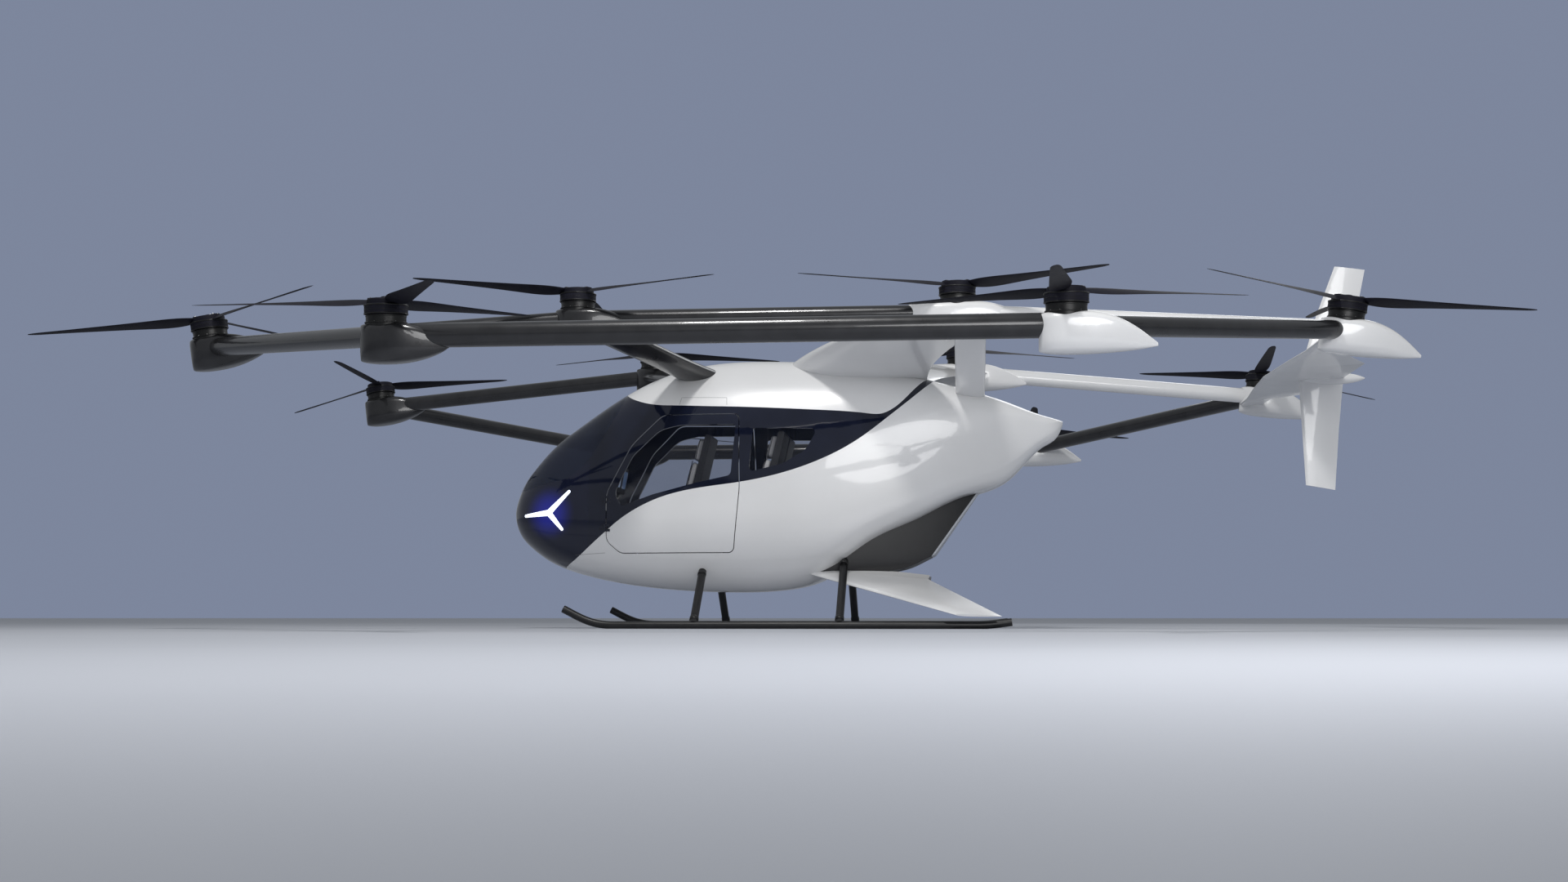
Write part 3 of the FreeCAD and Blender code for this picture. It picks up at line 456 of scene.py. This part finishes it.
# ---- seams --------------------------------------------------------------------------------------------------
def build_seams():
    """Fine shut lines: the roof hatches and the seam under the nose."""
    skin = surface_of(["fuselage_body", "roof_cowl", "nose_visor", "canopy_frame"])
    lines = bmesh.new()
    for outline in (ROOF_HATCH, NOSE_SEAM):
        for side in (1, -1):
            points, normals = onto_side(skin, outline, side)
            add_strip(lines, points, normals, SEAM_WIDTH, 0.0006, 0.002)
    piece("body_shut_lines", lines, "seam", "airframe")


# ---- seats --------------------------------------------------------------------------------------------------
def loose_parts(node):
    """The separate solids of a CAD node, each as a list of points."""
    mesh = bmesh.new()
    mesh.from_mesh(nodes[node].data)
    bmesh.ops.remove_doubles(mesh, verts=mesh.verts, dist=1e-5)
    left = set(mesh.verts)
    parts = []
    while left:
        stack = [left.pop()]
        found = []
        while stack:
            vert = stack.pop()
            found.append(vert.co.copy())
            for edge in vert.link_edges:
                other = edge.other_vert(vert)
                if other in left:
                    left.remove(other)
                    stack.append(other)
        parts.append(found)
    mesh.free()
    return parts


def box_of(points):
    """Lowest and highest corners of points."""
    return (Vector([min(p[k] for p in points) for k in range(3)]),
            Vector([max(p[k] for p in points) for k in range(3)]))


def pad_point(u, v, t, channels):
    """Maps a cube's surface to a stuffed pad: rounded edges, pulled-in sides, a crown and sewn channels."""
    squareness = 7
    crown = 0.28
    channel_depth = 0.16
    channel_width = 0.05
    size = (abs(u) ** squareness + abs(v) ** squareness + abs(t) ** squareness) ** (1 / squareness)
    u, v, t = u / size, v / size, t / size
    pull_u = 1 - 0.035 * (1 - v * v)
    pull_v = 1 - 0.03 * (1 - u * u)
    if t > 0:
        groove = sum(channel_depth * math.exp(-((v - c) / channel_width) ** 2) for c in channels)
        t = t * (1 - crown + crown * (1 - u * u) * (1 - v * v)) - t * groove
    return u * pull_u, v * pull_v, t


def build_pad(name, low, high, turn, upright, channels):
    """One cushion inside its CAD solid's box: crowned, with sewn channels and piping."""
    centre = (low + high) / 2
    half = (high - low) / 2
    across = 22

    def place(u, v, t):
        u, v, t = pad_point(u, v, t, channels)
        local = Vector((t, u, v)) if upright else Vector((v, u, t))
        return turn @ (centre + Vector((local.x * half.x, local.y * half.y, local.z * half.z)))

    mesh = bmesh.new()
    made = {}

    def vertex(u, v, t):
        key = (round(u, 5), round(v, 5), round(t, 5))
        if key not in made:
            made[key] = mesh.verts.new(place(u, v, t))
        return made[key]

    def sheet(point, rows, columns):
        for i in range(rows):
            for j in range(columns):
                a, b = -1 + 2 * i / rows, -1 + 2 * (i + 1) / rows
                c, d = -1 + 2 * j / columns, -1 + 2 * (j + 1) / columns
                mesh.faces.new([vertex(*point(p, q)) for p, q in ((a, c), (b, c), (b, d), (a, d))])

    deep = 6
    for end in (-1, 1):
        sheet(lambda p, q: (p, q, end), across, across)
        sheet(lambda p, q: (end, p, q), across, deep)
        sheet(lambda p, q: (p, end, q), across, deep)
    pad = piece(name, mesh, "seat_fabric", "airframe")
    smoother = pad.modifiers.new("smooth", "SUBSURF")
    smoother.levels = 1
    smoother.render_levels = 1
    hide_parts("seat_cushions")

    edge = []
    steps = 24
    for start, end in (((-1, -1), (1, -1)), ((1, -1), (1, 1)), ((1, 1), (-1, 1)), ((-1, 1), (-1, -1))):
        for k in range(steps):
            u = start[0] + (end[0] - start[0]) * k / steps
            v = start[1] + (end[1] - start[1]) * k / steps
            edge.append(place(u, v, 0.55))
    cord = bmesh.new()
    add_tube(cord, edge, 0.0035)
    piece(name + "_piping", cord, "piping", "airframe")


def build_cushions():
    """Seat, back and head pads of every seat, each in its CAD solid's place."""
    upright = Matrix.Rotation(SEAT_LEAN, 4, "Y")
    back_again = Matrix.Rotation(-SEAT_LEAN, 4, "Y")
    flat = Matrix.Identity(4)
    count = {"seat": 0, "back": 0, "head": 0}
    for points in sorted(loose_parts("seat_cushions"), key=lambda part: tuple(box_of(part)[0])):
        low, high = box_of(points)
        if high.z - low.z < 0.12:
            kind, turn, stands, channels = "seat", flat, False, (-0.36, 0.36)
        else:
            low, high = box_of([upright @ p for p in points])
            tall = high.z - low.z > 0.4
            kind, turn, stands = ("back" if tall else "head"), back_again, True
            channels = (-0.45, 0.0, 0.45) if tall else ()
        count[kind] += 1
        build_pad(f"{kind}_pad_{count[kind]}", low, high, turn, stands, channels)


def build_harnesses():
    """Two shoulder straps down each back pad, meeting at a buckle."""
    upright = Matrix.Rotation(SEAT_LEAN, 4, "Y")
    back_again = Matrix.Rotation(-SEAT_LEAN, 4, "Y")
    forward = (back_again.to_3x3() @ Vector((1, 0, 0))).normalized()
    straps = bmesh.new()
    buckles = bmesh.new()
    for points in loose_parts("seat_cushions"):
        low, high = box_of([upright @ p for p in points])
        if high.z - low.z < 0.4:
            continue
        middle = (low.y + high.y) / 2
        for side in (-1, 1):
            path = []
            for k in range(15):
                share = k / 14
                y = middle + side * (0.055 + 0.05 * share)
                z = high.z + 0.01 - (high.z - low.z - 0.03) * (1 - share)
                bulge = 0.006 * math.sin(math.pi * share)
                path.append(back_again @ Vector((high.x + STRAP_LIFT + bulge, y, z)))
            add_strip(straps, path, [forward] * len(path), STRAP_WIDTH, 0.0016)
        base = back_again @ Vector((high.x, middle, low.z))
        place = base + Vector((0.012, 0, 0.012))
        add_dome(buckles, place, 0.026, 0.014, Matrix.Identity(4), 20)
    piece("harness_straps", straps, "webbing", "airframe", smooth=False)
    piece("harness_buckles", buckles, "steel", "airframe")


# ---- cockpit ------------------------------------------------------------------------------------------------
def build_displays():
    """Two lit displays with raised bezels on the aft face of the console's screen."""
    surface = surface_of(["instrument_console"])
    glass = bmesh.new()
    bezels = bmesh.new()
    for middle in DISPLAY_CENTRES:
        left = middle - DISPLAY_HALF_WIDTH
        right = middle + DISPLAY_HALF_WIDTH
        corners = []
        for y, z in ((left, DISPLAY_FOOT), (right, DISPLAY_FOOT), (right, DISPLAY_HEAD), (left, DISPLAY_HEAD)):
            hit, normal, index, distance = surface.ray_cast(Vector((1.0, y, z)), Vector((1, 0, 0)))
            corners.append(hit)
        normal = (corners[1] - corners[0]).cross(corners[3] - corners[0]).normalized()
        if normal.x > 0:
            normal = -normal
        middle_left = (corners[0] + corners[3]) / 2
        middle_right = (corners[1] + corners[2]) / 2
        height = (corners[3] - corners[0]).length
        add_strip(glass, [middle_left, middle_right], [normal, normal], height, 0.003, 0.001)
        loop = corners + [corners[0]]
        for a, b in zip(loop, loop[1:]):
            over = (b - a).normalized() * (BEZEL_WIDTH / 2)
            add_strip(bezels, [a - over, b + over], [normal, normal], BEZEL_WIDTH, 0.006, 0.001)
    piece("cockpit_displays", glass, "display", "airframe", smooth=False)
    piece("display_bezels", bezels, "cabin_trim", "airframe", smooth=False)


def build_grips():
    """Pale moulded grips on the two control sticks."""
    grips = bmesh.new()
    tops = {}
    for part in loose_parts("instrument_console"):
        low, high = box_of(part)
        if high.z < 1.3:
            tops[round((low.y + high.y) / 2, 2)] = high
    for y, high in tops.items():
        foot = Vector((high.x - 0.030, y, high.z - 0.100))
        turn = Matrix.Translation(foot) @ Matrix.Rotation(GRIP_LEAN, 4, "Y")
        add_turned(grips, GRIP_PROFILE, turn, 24)
    piece("control_grips", grips, "grip", "airframe")


# ---- landing gear -------------------------------------------------------------------------------------------
def build_gear_fittings():
    """A collar where each leg meets its skid, and one where it meets the belly."""
    collars = bmesh.new()
    for part in loose_parts("skid_legs"):
        low, high = box_of(part)
        side = 1 if low.y > 0 else -1
        x = (low.x + high.x) / 2
        foot = Vector((x, side * max(abs(low.y), abs(high.y)), low.z))
        root = Vector((x, side * min(abs(low.y), abs(high.y)), high.z))
        run = (root - foot).normalized()
        across = run.cross(Vector((1, 0, 0))).normalized()
        turn = Matrix((Vector((1, 0, 0)), across, run)).transposed().to_4x4()
        length = (root - foot).length
        for start, end, radius in ((0.075, 0.120, 0.0425), (length - 0.105, length - 0.075, 0.0415)):
            place = Matrix.Translation(foot + run * start) @ turn
            add_turned(collars, ring_profile(0.030, radius, 0, end - start, 0.003), place)
    piece("leg_collars", collars, "gear_black", "airframe")


# ---- floor, light and camera ------------------------------------------------------------------------------
def build_stage():
    """A plain pale floor, and a plain world that lights softly and shows a blue-grey backdrop."""
    bpy.ops.mesh.primitive_plane_add(size=400, location=(0, 0, 0))
    floor = bpy.context.object
    floor.name = "floor"
    material, tree, shader = new_material("floor", (0.50, 0.52, 0.57), 0.6)
    add_mottle(tree, shader, (0.48, 0.50, 0.55), (0.51, 0.53, 0.58), 0.2, 0.55, 0.65)
    floor.data.materials.append(material)
    world = bpy.data.worlds.new("studio")
    bpy.context.scene.world = world
    world.use_nodes = True
    tree = world.node_tree
    light = tree.nodes["Background"]
    light.inputs["Color"].default_value = (0.90, 0.94, 1.0, 1)
    light.inputs["Strength"].default_value = 0.34
    backdrop = tree.nodes.new("ShaderNodeBackground")
    backdrop.inputs["Color"].default_value = (0.205, 0.240, 0.335, 1)
    backdrop.inputs["Strength"].default_value = 1.0
    path = tree.nodes.new("ShaderNodeLightPath")
    seen = tree.nodes.new("ShaderNodeMath")
    seen.operation = "MAXIMUM"
    mix = tree.nodes.new("ShaderNodeMixShader")
    tree.links.new(path.outputs["Is Camera Ray"], seen.inputs[0])
    tree.links.new(path.outputs["Is Transmission Ray"], seen.inputs[1])
    tree.links.new(seen.outputs[0], mix.inputs["Fac"])
    tree.links.new(light.outputs[0], mix.inputs[1])
    tree.links.new(backdrop.outputs[0], mix.inputs[2])
    tree.links.new(mix.outputs[0], tree.nodes["World Output"].inputs["Surface"])


def area_light(name, place, target, width, height, power, color=(1, 1, 1)):
    """A soft lamp aimed at a point."""
    data = bpy.data.lights.new(name, "AREA")
    data.shape = "ELLIPSE"
    data.size = width
    data.size_y = height
    data.energy = power
    data.color = color
    lamp = bpy.data.objects.new(name, data)
    bpy.context.scene.collection.objects.link(lamp)
    lamp.location = place
    lamp.rotation_euler = (Vector(target) - Vector(place)).to_track_quat("-Z", "Y").to_euler()


def build_lights():
    """A key high on the camera's side, a low broad fill and a rim."""
    area_light("key", (1.1, 7.6, 12.0), (0, 0.5, 1.5), 1.6, 1.6, 640, (1, 0.99, 0.97))
    area_light("fill", (-5, 16, 5), (-1, 0, 1.5), 10, 5, 820)
    area_light("rim", (-6, -10, 9), (0, 0, 2), 8, 4, 170, (0.95, 0.97, 1))


def build_camera():
    """The photograph's viewpoint: near the floor on the left side, looking slightly up and aft."""
    place = Vector((-1.837, 18.149, 0.105))
    yaw = math.radians(5.916)
    pitch = math.radians(5.425)
    forward = Vector((math.sin(yaw) * math.cos(pitch), -math.cos(yaw) * math.cos(pitch), math.sin(pitch)))
    right = Vector((-math.cos(yaw), -math.sin(yaw), 0))
    up = right.cross(forward)
    data = bpy.data.cameras.new("camera")
    data.sensor_width = 36
    data.lens = 42.63
    data.clip_end = 500
    camera = bpy.data.objects.new("camera", data)
    bpy.context.scene.collection.objects.link(camera)
    turn = Matrix((right, up, -forward)).transposed().to_4x4()
    camera.matrix_world = Matrix.Translation(place) @ turn
    bpy.context.scene.camera = camera
    bpy.context.scene.view_settings.view_transform = "Standard"


dress_cad_nodes()
build_rotor_fittings()
build_motor_flanges()
build_seams()
build_cushions()
build_harnesses()
build_displays()
build_grips()
build_gear_fittings()
build_stage()
build_lights()
build_camera()
